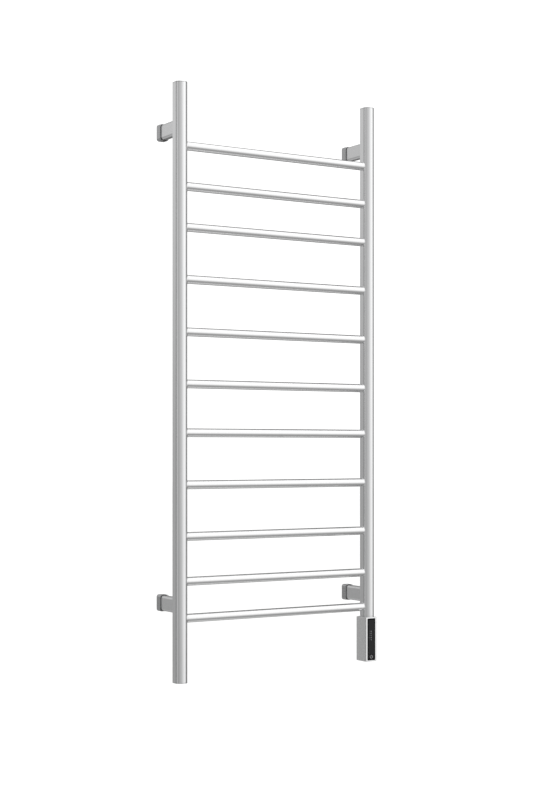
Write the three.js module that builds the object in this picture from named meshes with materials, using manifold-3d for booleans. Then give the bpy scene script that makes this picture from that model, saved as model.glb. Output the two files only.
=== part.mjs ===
// A wall-hung electric towel warmer: two D-section uprights, eleven round rails, four telescopic wall
// brackets, and a control head with its heating element under the right-hand upright.
// Millimetres, +Z up, +Y towards the wall, +X to the right of someone facing the wall. The origin is on
// the wall, midway between the uprights and level with the foot of the left one.

import * as THREE from "three";
import { mergeVertices } from "three/addons/utils/BufferGeometryUtils.js";
import Module from "manifold-3d";

const wasm = await Module();
wasm.setup();

// ---- Driving dimensions ----

const gap = 0.3;                // between two pieces that touch
const through = 1;              // how far a cutting tool runs past what it cuts

const rackWidth = 602;          // over the outsides of the uprights
const rackHeight = 1496;        // of the left upright, with its caps
const backOff = 90;             // wall to the flat backs of the uprights, with the brackets pushed home

const uprightWidth = 32;
const uprightFlat = 19.5;       // flat side, from the back to the crease
const uprightBow = 10.5;        // how far the bowed front stands out past the creases
const uprightWall = 1.5;
const capPlate = 2;             // what shows of an end cap
const capPlug = 6;              // what fits inside the tube

const railDiameter = 22;
const railWall = 1.2;
const railNeckDiameter = 15;    // drawn-down end that enters the upright
const railNeckPast = 1.5;       // how far the neck ends inside the upright's wall
const railFoot = 160;           // foot of the rack to the lowest rail
const railTop = 157;            // highest rail to the top of the rack
const railSpacing = [92, 112, 129, 130, 122, 130, 131, 130, 102, 101];  // proportions, from the bottom

const armWidth = 20;
const armHeight = 39;
const armCorner = 6.5;
const armWall = 2.5;
const armPlate = 3;             // closed end, against the upright
const topArmDrop = 111;         // top of the rack to the upper arms' centre line
const lowArmRise = 192;         // foot of the rack to the lower arms' centre line
const slideTravel = 10;         // how far the arms draw out of the wall sockets

const socketSide = 3;           // socket wall beside the arm
const socketLip = 1.5;          // socket wall above and below the arm
const socketBase = 5;           // solid end, against the wall
const socketHold = 2.7;         // how far a drawn-out arm still sits in its socket
const socketCorner = 6;
const spigotLength = 45;        // from the base, inside the arm
const spigotRelief = 4;         // room above and below the spigot inside the arm
const screwHeadBore = 9.5;      // lets the wall screw's head down the spigot
const wallScrewHole = 5.5;

const bossDiameter = 14;        // threaded boss in the upright's back
const bossDepth = 8;
const boltDiameter = 6;
const boltHeadDiameter = 10;
const boltHead = 4;
const boltReach = 6.5;          // how far the bolt enters the boss
const lockScrewDiameter = 5;
const lockScrewInset = 9;       // socket rim to the lock screw
const hexSocket = 2.5;          // across flats, in bolts and lock screws
const hexDepth = 2;

const rightFoot = 133;          // height of the right upright's foot
const footPlate = 3;
const footPlug = 8;

const headDepth = 45;
const headHeight = 118;
const headCorner = 2.5;
const headWall = 2.2;
const headFront = 4;            // wall that carries the touch panel
const headProud = 1;            // how far the head stands in front of the upright

const panelSide = 5.5;          // metal left beside the touch panel
const panelEnd = 3.3;           // metal left above and below it
const panelThickness = 2;
const panelSink = 0.2;
const panelLip = 1.8;           // ledge behind the panel's edge
const indicatorCount = 5;
const indicatorTop = 80.5;      // foot of the head to the highest indicator
const indicatorPitch = 5.65;
const indicatorDiameter = 1.6;

const buttonSize = 12;
const buttonRise = 0.4;         // panel's ledge to the button's flange
const buttonPlay = 0.4;
const buttonFlange = 1.1;       // wider than the cap by this much each side
const buttonFlangeThickness = 1.2;
const buttonStem = 4;
const buttonStemLength = 2.5;
const buttonTravel = 0.8;

const boardWidth = 22;
const boardThickness = 1.6;
const boardHeight = 98;
const boardFoot = 8;
const switchSize = 6;
const switchThickness = 2.6;
const relaySize = [15, 10, 19];
const relayFoot = 60;
const supplySize = [20, 16, 24];
const supplyFoot = 32;
const terminalSize = [20, 12, 12];
const terminalFoot = 83;

const coverThickness = 2.2;
const postWidth = 10;
const postDepth = 5.5;
const postHeight = 8;
const coverScrewDiameter = 2.5;
const coverScrewHead = 5;
const coverScrewHeadHeight = 1.2;
const coverScrewReach = 4;
const inletHeight = 22;         // foot of the head to the cable inlet
const inletDiameter = 9;
const inletBore = 6.5;
const inletFlangeDiameter = 13;
const inletFlange = 1.5;
const inletTail = 3;            // what stands inside the cover

const threadDiameter = 21;      // element fitting
const portWall = 1.5;           // metal of the foot plug behind the threaded port
const hexAcross = 25;
const hexThickness = 8;
const hexRoom = 1.37;           // each side, between the fitting's hexagon and the head
const sealThickness = 2.4;
const sealWidth = 2.3;
const elementDiameter = 9;
const elementOffset = 4.5;
const elementLength = 450;
const elementTail = 7;          // cold end below the fitting
const probeDiameter = 5;
const probeOffset = 5.5;
const probeLength = 90;

const roundSides = 16;
const smallSides = 10;
const railSides = 16;

// ---- Finishes ----

const finish = (color, roughness, metalness) =>
  new THREE.MeshStandardMaterial({ color, roughness, metalness });
const satinSteel = finish(0xc4c6c8, 0.28, 1);
const polishedSteel = finish(0xd8dadc, 0.12, 1);
const castMetal = finish(0x8b8d90, 0.35, 1);
const fastenerSteel = finish(0x9a9ca0, 0.4, 1);
const blackGlass = finish(0x0b0c0d, 0.08, 0);
const greyPlastic = finish(0xb9bcc0, 0.4, 0.2);
const blackPlastic = finish(0x1a1b1c, 0.5, 0);
const lightPlastic = finish(0xe8ecef, 0.2, 0);
const boardGreen = finish(0x1f5a36, 0.5, 0);
const relayBlue = finish(0x2a4f7a, 0.45, 0);
const brass = finish(0xb48a3c, 0.3, 1);
const sealRubber = finish(0x2b2b2b, 0.8, 0);

// ---- Solids ----

// The closed solid of a three.js geometry, whichever way round its faces were wound.
function solid(geometry) {
  const bare = geometry.clone();
  bare.deleteAttribute("normal");
  bare.deleteAttribute("uv");
  const merged = mergeVertices(bare, 1e-4);
  const corners = merged.index.array;
  const spot = new THREE.BufferAttribute(merged.attributes.position.array, 3);
  const [a, b, c] = [new THREE.Vector3(), new THREE.Vector3(), new THREE.Vector3()];
  const triangles = [];
  let volume = 0;
  for (let i = 0; i < corners.length; i += 3) {
    const [p, q, r] = corners.slice(i, i + 3);
    if (p === q || q === r || r === p) continue;
    triangles.push(p, q, r);
    a.fromBufferAttribute(spot, p);
    b.fromBufferAttribute(spot, q);
    c.fromBufferAttribute(spot, r);
    volume += a.dot(b.cross(c));
  }
  if (volume < 0) triangles.reverse();
  return new wasm.Manifold(new wasm.Mesh({
    numProp: 3,
    vertProperties: new Float32Array(merged.attributes.position.array),
    triVerts: new Uint32Array(triangles),
  }));
}

function geometryOf(body) {
  const mesh = body.getMesh();
  const geometry = new THREE.BufferGeometry();
  geometry.setAttribute("position", new THREE.BufferAttribute(mesh.vertProperties, 3));
  geometry.setIndex(new THREE.BufferAttribute(mesh.triVerts, 1));
  const flat = geometry.toNonIndexed();
  flat.computeVertexNormals();
  return flat;
}

// A box given by its width, depth and height, standing on its foot at x, y (its front face) and z.
function block([width, depth, height], [x, y, z]) {
  return solid(new THREE.BoxGeometry(width, depth, height).translate(x, y + depth / 2, z + height / 2));
}

// A cylinder that runs up from its foot.
function post(diameter, height, [x, y, z], sides = roundSides) {
  const shape = new THREE.CylinderGeometry(diameter / 2, diameter / 2, height, sides);
  return solid(shape.rotateX(Math.PI / 2).translate(x, y, z + height / 2));
}

// A cylinder that runs towards the wall from its front end.
function peg(diameter, length, [x, y, z], sides = roundSides) {
  const shape = new THREE.CylinderGeometry(diameter / 2, diameter / 2, length, sides);
  return solid(shape.translate(x, y + length / 2, z));
}

// A cylinder that runs to the right from its left end.
function bar(diameter, length, [x, y, z], sides = roundSides) {
  const shape = new THREE.CylinderGeometry(diameter / 2, diameter / 2, length, sides);
  return solid(shape.rotateZ(Math.PI / 2).translate(x + length / 2, y, z));
}

function roundedOutline(width, height, radius) {
  const [right, top] = [width / 2, height / 2];
  const outline = new THREE.Shape();
  outline.moveTo(-right + radius, -top);
  outline.absarc(right - radius, -top + radius, radius, -Math.PI / 2, 0, false);
  outline.absarc(right - radius, top - radius, radius, 0, Math.PI / 2, false);
  outline.absarc(-right + radius, top - radius, radius, Math.PI / 2, Math.PI, false);
  outline.absarc(-right + radius, -top + radius, radius, Math.PI, Math.PI * 1.5, false);
  return outline;
}

// A rounded bar that runs towards the wall, its section upright in the XZ plane.
function roundedBar([width, height, radius], length, y, curveSegments = 3) {
  const outline = roundedOutline(width, height, radius);
  const shape = new THREE.ExtrudeGeometry(outline, { depth: length, bevelEnabled: false, curveSegments });
  return solid(shape.rotateX(Math.PI / 2).translate(0, y + length, 0));
}

// A hexagon that runs up from its foot, with flats to the front and back.
function hexagon(across, height, [x, y, z]) {
  const corner = across / Math.sqrt(3);
  const shape = new THREE.CylinderGeometry(corner, corner, height, 6, 1, false, Math.PI / 6);
  return solid(shape.rotateX(Math.PI / 2).translate(x, y, z + height / 2));
}

const rack = new THREE.Group();

function add(group, name, body, material, [x, y, z] = [0, 0, 0]) {
  const mesh = new THREE.Mesh(body.isBufferGeometry ? body : geometryOf(body), material);
  mesh.name = name;
  mesh.position.set(x, y, z);
  group.add(mesh);
}

function groupAt(x, y, z) {
  const group = new THREE.Group();
  group.position.set(x, y, z);
  rack.add(group);
  return group;
}

// ---- Uprights: a D-section tube, flat at the back, bowed at the front ----

const uprightX = (rackWidth - uprightWidth) / 2;
const bowRadius = ((uprightWidth / 2) ** 2 + uprightBow ** 2) / (2 * uprightBow);
const uprightDepth = uprightFlat + uprightBow;
const bowCentre = bowRadius - uprightDepth;     // behind it is the flat back, at y = 0

// The section, drawn in by an inset; the back is at y = 0 and the front at -uprightDepth.
function uprightOutline(inset, Kind = THREE.Shape) {
  const half = uprightWidth / 2 - inset;
  const radius = bowRadius - inset;
  const turn = Math.acos(half / radius);
  const outline = new Kind();
  outline.moveTo(half, -inset);
  outline.lineTo(-half, -inset);
  outline.absarc(0, bowCentre, radius, turn - Math.PI, -turn, false);
  return outline;
}

function uprightPrism(outline, foot, height) {
  const options = { depth: height, bevelEnabled: false, curveSegments: 8 };
  return solid(new THREE.ExtrudeGeometry(outline, options).translate(0, 0, foot));
}

const railPitch = (rackHeight - railFoot - railTop) / railSpacing.reduce((sum, step) => sum + step, 0);
const railHeights = [railFoot];
for (const step of railSpacing) railHeights.push(railHeights.at(-1) + step * railPitch);
const armHeights = { top: rackHeight - topArmDrop, low: lowArmRise };
const railAxis = -railDiameter / 2;             // the rails' backs are level with the uprights' backs

function uprightTube(foot, innerSide) {
  const outline = uprightOutline(0);
  outline.holes.push(uprightOutline(uprightWall, THREE.Path));
  const top = rackHeight - capPlate - gap;
  let tube = uprightPrism(outline, foot, top - foot);
  const wallEdge = innerSide * uprightWidth / 2;
  const toolLength = uprightWall + railNeckPast + gap + through;
  const toolStart = innerSide > 0 ? wallEdge + through - toolLength : wallEdge - through;
  for (const z of railHeights) {
    tube = tube.subtract(bar(railNeckDiameter + 2 * gap, toolLength, [toolStart, railAxis, z]));
  }
  for (const z of Object.values(armHeights)) {
    tube = tube.subtract(peg(bossDiameter + 2 * gap, uprightWall + 2 * through, [0, -uprightWall - through, z]));
  }
  return tube;
}

function endCap(plate, plug) {
  return uprightPrism(uprightOutline(0), -plate, plate)
    .add(uprightPrism(uprightOutline(uprightWall + gap), -plate, plate + plug));
}

const leftFootCap = endCap(capPlate, capPlug);
const topCap = leftFootCap.mirror([0, 0, 1]);
const fittingY = -(uprightWall + gap + portWall + gap + threadDiameter / 2);
const rightFootPlug = endCap(footPlate, footPlug).subtract(
  post(threadDiameter + 2 * gap, footPlate + footPlug + 2 * through, [0, fittingY, -footPlate - through]));

for (const [side, x, foot, innerSide] of [["left", -uprightX, capPlate, 1], ["right", uprightX,
  rightFoot + footPlate, -1]]) {
  const group = groupAt(x, -backOff, 0);
  add(group, `${side}_upright`, uprightTube(foot + gap, innerSide), satinSteel);
  add(group, `${side}_top_cap`, topCap, satinSteel, [0, 0, rackHeight - capPlate]);
  const footPiece = side === "left" ? leftFootCap : rightFootPlug;
  add(group, side === "left" ? "left_foot_cap" : "right_foot_plug", footPiece, satinSteel, [0, 0, foot]);
}

// ---- Rails: round tubes with drawn-down necks that enter the uprights ----

function railTube() {
  const shoulder = uprightX - uprightWidth / 2 - gap;
  const end = uprightX - uprightWidth / 2 + uprightWall + railNeckPast;
  const [outer, inner] = [railDiameter / 2, railDiameter / 2 - railWall];
  const [neck, bore] = [railNeckDiameter / 2, railNeckDiameter / 2 - railWall];
  const rightHalf = [[outer, shoulder], [neck, shoulder], [neck, end], [bore, end],
    [bore, shoulder - railWall], [inner, shoulder - railWall]];
  const leftHalf = rightHalf.map(([r, x]) => [r, -x]).reverse();
  const profile = [...rightHalf, ...leftHalf, rightHalf[0]].map(([r, x]) => new THREE.Vector2(r, x));
  return solid(new THREE.LatheGeometry(profile, railSides).rotateZ(-Math.PI / 2));
}

const rail = geometryOf(railTube());
railHeights.forEach((z, i) => {
  add(rack, `rail_${String(i + 1).padStart(2, "0")}`, rail, polishedSteel, [0, railAxis - backOff, z]);
});

// ---- Wall brackets: a hollow arm that slides over a spigot inside a wall socket ----

const armSection = [armWidth, armHeight, armCorner];
const socketDepth = socketBase + gap + slideTravel + socketHold;
const armFront = -backOff + gap;
const armLength = backOff - gap - socketBase - gap;
const armInside = [armWidth - 2 * armWall, armHeight - 2 * armWall, armCorner - armWall];
const spigotWidth = armInside[0] - 2 * gap;
const spigotHeight = armInside[1] - 2 * spigotRelief;
const lockScrewY = -socketDepth - lockScrewInset;

function bracketArm() {
  const shell = roundedBar(armSection, armLength, armFront);
  const hollow = roundedBar(armInside, armLength, armFront + armPlate);
  const boltHole = peg(boltDiameter + 2 * gap, armPlate + 2 * through, [0, armFront - through, 0]);
  const lockHole = post(lockScrewDiameter + 2 * gap, armWall + 2 * through,
    [0, lockScrewY, -armHeight / 2 - through]);
  return shell.subtract(hollow).subtract(boltHole).subtract(lockHole);
}

function wallSocket() {
  const outside = [armWidth + 2 * socketSide, armHeight + 2 * socketLip, socketCorner];
  const recess = [armWidth + 2 * gap, armHeight + 2 * gap, armCorner + gap];
  const spigotFront = -socketBase - spigotLength;
  return roundedBar(outside, socketDepth, -socketDepth)
    .subtract(roundedBar(recess, socketDepth, -socketDepth - socketBase))
    .add(block([spigotWidth, spigotLength + through, spigotHeight], [0, spigotFront, -spigotHeight / 2]))
    .subtract(peg(screwHeadBore, spigotLength, [0, spigotFront, 0]))
    .subtract(peg(wallScrewHole, spigotLength, [0, -socketBase - through, 0]));
}

function armBoss() {
  return peg(bossDiameter, bossDepth, [0, -backOff - bossDepth, 0])
    .subtract(peg(boltDiameter + 2 * gap, bossDepth, [0, -backOff - boltReach - gap, 0]));
}

function armBolt() {
  const headFront = armFront + armPlate + gap;
  const tip = -backOff - boltReach;
  const socketCut = new THREE.CylinderGeometry(hexSocket, hexSocket, hexDepth + through, 6);
  return peg(boltDiameter, headFront - tip + through, [0, tip, 0])
    .add(peg(boltHeadDiameter, boltHead, [0, headFront, 0]))
    .subtract(solid(socketCut.translate(0, headFront + boltHead + (through - hexDepth) / 2, 0)));
}

function lockScrew() {
  const foot = -armHeight / 2 + gap;
  const height = -spigotHeight / 2 - gap - foot;
  return post(lockScrewDiameter, height, [0, lockScrewY, foot])
    .subtract(hexagon(hexSocket, hexDepth + through, [0, lockScrewY, foot - through]));
}

const bracketPieces = [["arm", bracketArm(), satinSteel], ["wall_socket", wallSocket(), castMetal],
  ["arm_boss", armBoss(), fastenerSteel], ["arm_bolt", armBolt(), fastenerSteel],
  ["lock_screw", lockScrew(), fastenerSteel]].map(([name, body, metal]) => [name, geometryOf(body), metal]);

for (const [level, z] of Object.entries(armHeights)) {
  for (const [side, x] of [["left", -uprightX], ["right", uprightX]]) {
    const group = groupAt(x, 0, z);
    for (const [name, shape, metal] of bracketPieces) add(group, `${name}_${level}_${side}`, shape, metal);
  }
}

// ---- Control head: its own frame has x at the middle, y = 0 at the front face, z = 0 at the foot ----

const headWidth = hexAcross / Math.cos(Math.PI / 6) + 2 * hexRoom + 2 * headWall;
const headFrontY = -backOff - uprightDepth - headProud;
const headFootZ = rightFoot - gap - headHeight;
const head = groupAt(uprightX, headFrontY, headFootZ);
const insideWidth = headWidth - 2 * headWall;
const insideHeight = headHeight - 2 * headWall;
const panelWidth = headWidth - 2 * panelSide;
const panelHeight = headHeight - 2 * panelEnd;
const buttonHeight = panelEnd + panelLip + buttonRise + buttonFlange + buttonSize / 2;
const stemY = fittingY + uprightDepth + headProud;     // centre line of the fitting, in the head's frame
const coverFront = headDepth - coverThickness;
const postFront = coverFront - gap - postDepth;
const coverScrews = { low: headWall + postHeight / 2, top: headHeight - headWall - postHeight / 2 };
const sealOuter = threadDiameter + 2 * gap + 2 * sealWidth;

function controlHousing() {
  const outline = roundedOutline(headWidth, headDepth, headCorner);
  const shell = solid(new THREE.ExtrudeGeometry(outline,
    { depth: headHeight, bevelEnabled: false, curveSegments: 3 }).translate(0, headDepth / 2, 0));
  const lipWidth = panelWidth - 2 * panelLip;
  const lipHeight = panelHeight - 2 * panelLip;
  let housing = shell
    .subtract(block([insideWidth, headDepth, insideHeight], [0, headFront, headWall]))
    .subtract(block([panelWidth + 2 * gap, panelSink + panelThickness + gap + through, panelHeight + 2 * gap],
      [0, -through, panelEnd - gap]))
    .subtract(block([lipWidth, headFront + 2 * through, lipHeight], [0, -through, panelEnd + panelLip]))
    .subtract(post(sealOuter + 2 * gap, headWall + 2 * through,
      [0, stemY, headHeight - headWall - through]));
  for (const z of Object.values(coverScrews)) {
    const nearWall = z < headHeight / 2 ? z - postHeight / 2 - headWall / 2 : z - postHeight / 2;
    housing = housing
      .add(block([postWidth, postDepth, postHeight + headWall / 2], [0, postFront, nearWall]))
      .subtract(peg(coverScrewDiameter + 2 * gap, postDepth, [0, postFront + through, z], smallSides));
  }
  return housing;
}

function backCover() {
  const height = insideHeight - 2 * gap;
  let cover = block([insideWidth - 2 * gap, coverThickness, height], [0, coverFront, headWall + gap])
    .subtract(peg(inletDiameter + 2 * gap, coverThickness + 2 * through,
      [0, coverFront - through, inletHeight]));
  for (const z of Object.values(coverScrews)) {
    cover = cover
      .subtract(peg(coverScrewDiameter + 2 * gap, coverThickness + 2 * through,
        [0, coverFront - through, z], smallSides))
      .subtract(peg(coverScrewHead + 2 * gap, coverThickness,
        [0, headDepth - coverScrewHeadHeight - gap, z]));
  }
  return cover;
}

function coverScrew() {
  const headBase = headDepth - coverScrewHeadHeight;
  const tip = coverFront - gap - coverScrewReach;
  return peg(coverScrewDiameter, headBase - tip + gap, [0, tip, 0], smallSides)
    .add(peg(coverScrewHead, coverScrewHeadHeight, [0, headBase, 0]));
}

function touchPanel() {
  const hole = buttonSize + 2 * buttonPlay;
  const depth = panelThickness + 2 * through;
  let panel = block([panelWidth, panelThickness, panelHeight], [0, panelSink, panelEnd])
    .subtract(block([hole, depth, hole], [0, panelSink - through, buttonHeight - hole / 2]));
  for (let i = 0; i < indicatorCount; i++) {
    const z = indicatorTop - i * indicatorPitch;
    panel = panel.subtract(peg(indicatorDiameter + 2 * gap, depth, [0, panelSink - through, z], smallSides));
  }
  return panel;
}

const flangeFront = panelSink + panelThickness + gap;
const stemTip = flangeFront + buttonFlangeThickness + buttonStemLength;
const switchFront = stemTip + buttonTravel + gap;
const boardFront = switchFront + switchThickness + gap;
const behindBoard = boardFront + boardThickness + gap;

function powerButton() {
  const flange = buttonSize + 2 * buttonFlange;
  const depth = flangeFront + buttonFlangeThickness;
  return block([buttonSize, depth, buttonSize], [0, 0, buttonHeight - buttonSize / 2])
    .add(block([flange, buttonFlangeThickness, flange], [0, flangeFront, buttonHeight - flange / 2]))
    .add(peg(buttonStem, buttonStemLength + through, [0, depth - through, buttonHeight]));
}

const inHead = (name, body, material) => add(head, name, body, material);
inHead("control_housing", controlHousing(), greyPlastic);
inHead("housing_back_cover", backCover(), greyPlastic);
for (const [level, z] of Object.entries(coverScrews)) {
  add(head, `cover_screw_${level}`, coverScrew(), fastenerSteel, [0, 0, z]);
}
inHead("touch_panel", touchPanel(), blackGlass);
inHead("power_button", powerButton(), blackGlass);
for (let i = 0; i < indicatorCount; i++) {
  const z = indicatorTop - i * indicatorPitch;
  const length = boardFront - gap - panelSink;
  inHead(`indicator_light_${i + 1}`, peg(indicatorDiameter, length, [0, panelSink, z], smallSides), lightPlastic);
}
inHead("circuit_board", block([boardWidth, boardThickness, boardHeight], [0, boardFront, boardFoot]), boardGreen);
inHead("button_switch", block([switchSize, switchThickness, switchSize],
  [0, switchFront, buttonHeight - switchSize / 2]), blackPlastic);
inHead("relay", block(relaySize, [0, behindBoard, relayFoot]), relayBlue);
inHead("power_supply", block(supplySize, [0, behindBoard, supplyFoot]), blackPlastic);
inHead("terminal_block", block(terminalSize, [0, behindBoard, terminalFoot]), lightPlastic);

function cableInlet() {
  const front = coverFront - inletTail;
  const flangeY = headDepth + gap;
  return peg(inletDiameter, flangeY - front + gap, [0, front, inletHeight])
    .add(peg(inletFlangeDiameter, inletFlange, [0, flangeY, inletHeight]))
    .subtract(peg(inletBore, headDepth, [0, front - through, inletHeight]));
}
inHead("cable_inlet", cableInlet(), sealRubber);

// ---- Heating element: screwed up through the head into the foot of the right upright ----

const sealFoot = headHeight - sealThickness;
const hexFoot = sealFoot - gap - hexThickness;
const threadTop = headHeight + gap + footPlate + footPlug + through;

function elementFitting() {
  const hexTop = hexFoot + hexThickness;
  const height = threadTop - hexFoot + 2 * through;
  return hexagon(hexAcross, hexThickness, [0, stemY, hexFoot])
    .add(post(threadDiameter, threadTop - hexTop + through, [0, stemY, hexTop - through]))
    .subtract(post(elementDiameter + 2 * gap, height, [-elementOffset, stemY, hexFoot - through]))
    .subtract(post(probeDiameter + 2 * gap, height, [probeOffset, stemY, hexFoot - through]));
}

const sealRing = post(sealOuter, sealThickness, [0, stemY, sealFoot])
  .subtract(post(threadDiameter + 2 * gap, sealThickness + 2 * through, [0, stemY, sealFoot - through]));
const rodFoot = hexFoot - elementTail;
inHead("element_fitting", elementFitting(), brass);
inHead("sealing_ring", sealRing, sealRubber);
inHead("heating_element", post(elementDiameter, elementLength, [-elementOffset, stemY, rodFoot]), polishedSteel);
inHead("temperature_probe", post(probeDiameter, probeLength, [probeOffset, stemY, rodFoot]), polishedSteel);

export default rack;
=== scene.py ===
"""Looks of a wall-hung electric towel warmer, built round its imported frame."""

import math

import bmesh
import bpy
from mathutils import Matrix, Vector


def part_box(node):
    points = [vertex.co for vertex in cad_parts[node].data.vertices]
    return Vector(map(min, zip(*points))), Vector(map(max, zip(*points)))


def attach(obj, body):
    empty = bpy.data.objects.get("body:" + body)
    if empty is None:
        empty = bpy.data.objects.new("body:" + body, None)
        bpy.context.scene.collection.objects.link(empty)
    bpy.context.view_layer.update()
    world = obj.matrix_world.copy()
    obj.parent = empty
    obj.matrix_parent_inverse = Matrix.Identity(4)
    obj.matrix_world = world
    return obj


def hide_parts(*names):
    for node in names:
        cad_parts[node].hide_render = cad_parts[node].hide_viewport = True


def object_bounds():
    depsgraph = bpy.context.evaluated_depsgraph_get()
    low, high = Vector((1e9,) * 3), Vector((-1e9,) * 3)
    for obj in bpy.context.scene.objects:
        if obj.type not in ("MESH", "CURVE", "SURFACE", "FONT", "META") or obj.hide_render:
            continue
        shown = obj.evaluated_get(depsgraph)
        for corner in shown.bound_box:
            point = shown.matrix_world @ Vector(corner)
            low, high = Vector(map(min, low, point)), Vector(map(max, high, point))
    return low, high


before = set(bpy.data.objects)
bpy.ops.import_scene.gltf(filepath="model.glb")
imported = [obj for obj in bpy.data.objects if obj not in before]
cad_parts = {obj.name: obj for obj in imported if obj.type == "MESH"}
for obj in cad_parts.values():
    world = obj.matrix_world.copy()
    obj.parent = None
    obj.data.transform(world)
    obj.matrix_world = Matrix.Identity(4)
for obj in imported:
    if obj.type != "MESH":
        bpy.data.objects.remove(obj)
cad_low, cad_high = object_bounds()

MM = 0.001
GAP = 0.3 * MM                     # between two pieces that touch
THROUGH = 1.0 * MM                 # how far a cutting tool runs past what it cuts

X_AXIS = Vector((1.0, 0.0, 0.0))
Y_AXIS = Vector((0.0, 1.0, 0.0))
Z_AXIS = Vector((0.0, 0.0, 1.0))

# Uprights and their caps
UPRIGHT_FLAT = 19.5 * MM           # flat side, from the back to the crease
UPRIGHT_WALL = 1.5 * MM
CREASE_BLEND = 1.9 * MM            # soft line where the flat side meets the bow
BACK_CORNER = 1.2 * MM
BOW_STEPS = 28
PLUG_INSET = UPRIGHT_WALL + GAP
PLUG_FLAT_LOSS = 1.22              # flat side lost for each unit of inset, so that plug and tube bow alike
PLUG_FLAT = UPRIGHT_FLAT - PLUG_FLAT_LOSS * PLUG_INSET
CAP_PLATE = 2.0 * MM
FOOT_PLATE = 3.0 * MM
PORT_RADIUS = 10.8 * MM            # threaded port in the right foot
TUBE_EDGE = 0.3 * MM               # this and every other EDGE is how far sharp edges are broken
CAP_EDGE = 0.4 * MM
FOOT_EDGE = 0.3 * MM

# Rails
RAILS = 11
RAIL_RADIUS = 11.0 * MM
RAIL_SINK = 2.6 * MM               # how far the rail's end runs into the upright
WELD_RISE = 0.45 * MM              # bead round the joint of rail and upright
WELD_WIDTH = 1.1 * MM
RAIL_SIDES = 56
RAIL_EDGE = 0.1 * MM

# Wall brackets
BRACKETS = ("top_left", "top_right", "low_left", "low_right")
ARM_CORNER = 6.5 * MM
ARM_WALL = 2.5 * MM
ARM_PLATE = 3.0 * MM
ARM_EDGE = 0.35 * MM
SOCKET_WIDTH = 26.0 * MM
SOCKET_DEPTH = 18.0 * MM
SOCKET_CORNER = 6.0 * MM
SOCKET_PLAY = 0.8 * MM             # round the arm, at the socket's rim
SOCKET_BASE = 5.0 * MM
SOCKET_EDGE = 0.6 * MM
SPIGOT_WIDTH = 14.4 * MM
SPIGOT_HEIGHT = 26.0 * MM
SPIGOT_CORNER = 1.2 * MM
SCREW_HEAD_BORE = 9.5 * MM
WALL_SCREW_HOLE = 5.5 * MM
LOCK_SCREW_HOLE = 5.6 * MM
HEX_SOCKET = 2.5 * MM              # across the flats
HEX_DEPTH = 2.0 * MM
LOCK_SCREW_RIM = 0.5 * MM
LOCK_SCREW_EDGE = 0.08 * MM

# Control head
HEAD_CORNER = 2.5 * MM
HEAD_END_ROUND = 1.1 * MM
HEAD_WALL = 2.2 * MM
HEAD_FRONT = 4.0 * MM
HEAD_EDGE = 0.22 * MM
PANEL_CORNER = 1.2 * MM
PANEL_LIP = 1.8 * MM
PANEL_RIM = 0.35 * MM
PANEL_EDGE = 0.06 * MM
PANEL_SURROUND = 3.4 * MM          # black border printed round the touch field
KEY_SIZE = 12.0 * MM
KEY_PLAY = 0.4 * MM
KEY_CORNER = 1.6 * MM
KEY_RIM = 0.45 * MM
KEY_EDGE = 0.1 * MM
KEY_FLANGE = 1.1 * MM
KEY_FLANGE_DEPTH = 1.2 * MM
KEY_STEM_RADIUS = 2.0 * MM
KEY_STEM_LENGTH = 2.5 * MM
SYMBOL_RADIUS = 4.0 * MM
SYMBOL_STROKE = 1.3 * MM
SYMBOL_OPENING = math.radians(38.0)   # from the top of the broken ring to where it starts
SYMBOL_BAR_FOOT = 0.6 * MM
SYMBOL_BAR_RISE = 0.8 * MM         # of the bar above the ring
SYMBOL_BAR_CORNER = 0.3 * MM
LIGHTS = 5
LENS_EDGE = 0.05 * MM
TICK_START = 5.2 * MM              # from the light's axis
TICK_END = 2.9 * MM
TICK_HALF = 0.35 * MM
TICK_CORNER = 0.2 * MM
PRINT_DEPTH = 0.06 * MM
POST_WIDTH = 10.0 * MM
POST_DEPTH = 5.5 * MM
POST_HEIGHT = 8.0 * MM
COVER_CORNER = 0.8 * MM
COVER_EDGE = 0.25 * MM
COVER_SCREW_HOLE = 3.1 * MM
COVER_SCREW_SINK = 5.6 * MM
COVER_SCREW_HEAD_HEIGHT = 1.2 * MM
COVER_SCREW_SHANK = 1.25 * MM      # radius
COVER_SCREW_EDGE = 0.05 * MM
CROSS_REACH = 1.5 * MM
CROSS_HALF = 0.3 * MM
CROSS_DEPTH = 0.8 * MM
INLET_HOLE = 9.6 * MM
GROMMET_BORE = 3.25 * MM           # radius, as is the neck
GROMMET_NECK = 4.5 * MM
GROMMET_EDGE = 0.08 * MM
SEAL_HOLE = 26.8 * MM

PIECE_WELD = 0.002 * MM            # vertices nearer than this are one

# Studio, in metres and degrees
CAMERA_PLACE = (-2.130, -3.498, 0.585)
CAMERA_HEADING = -31.7
LENS_LENGTH = 69.75
LENS_RISE = 0.06
SOFT_BOX_PLACE = (1.8, -3.2, 3.2)
SOFT_BOX_AIM = (0.0, -0.1, 0.8)
SOFT_BOX_WIDTH = 2.4
SOFT_BOX_HEIGHT = 1.8
SOFT_BOX_POWER = 22.0
FLOOR_SIZE = 30.0
FLOOR_DROP = 0.35


# ---- Finishes ----


def new_finish(name, base, metallic, roughness):
    """A material with its shader set, and the parts needed to add grain to it."""
    finish = bpy.data.materials.new(name)
    finish.use_nodes = True
    tree = finish.node_tree
    shader = tree.nodes["Principled BSDF"]
    shader.inputs["Base Color"].default_value = (*base, 1.0)
    shader.inputs["Metallic"].default_value = metallic
    shader.inputs["Roughness"].default_value = roughness
    return finish, tree, shader


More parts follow.
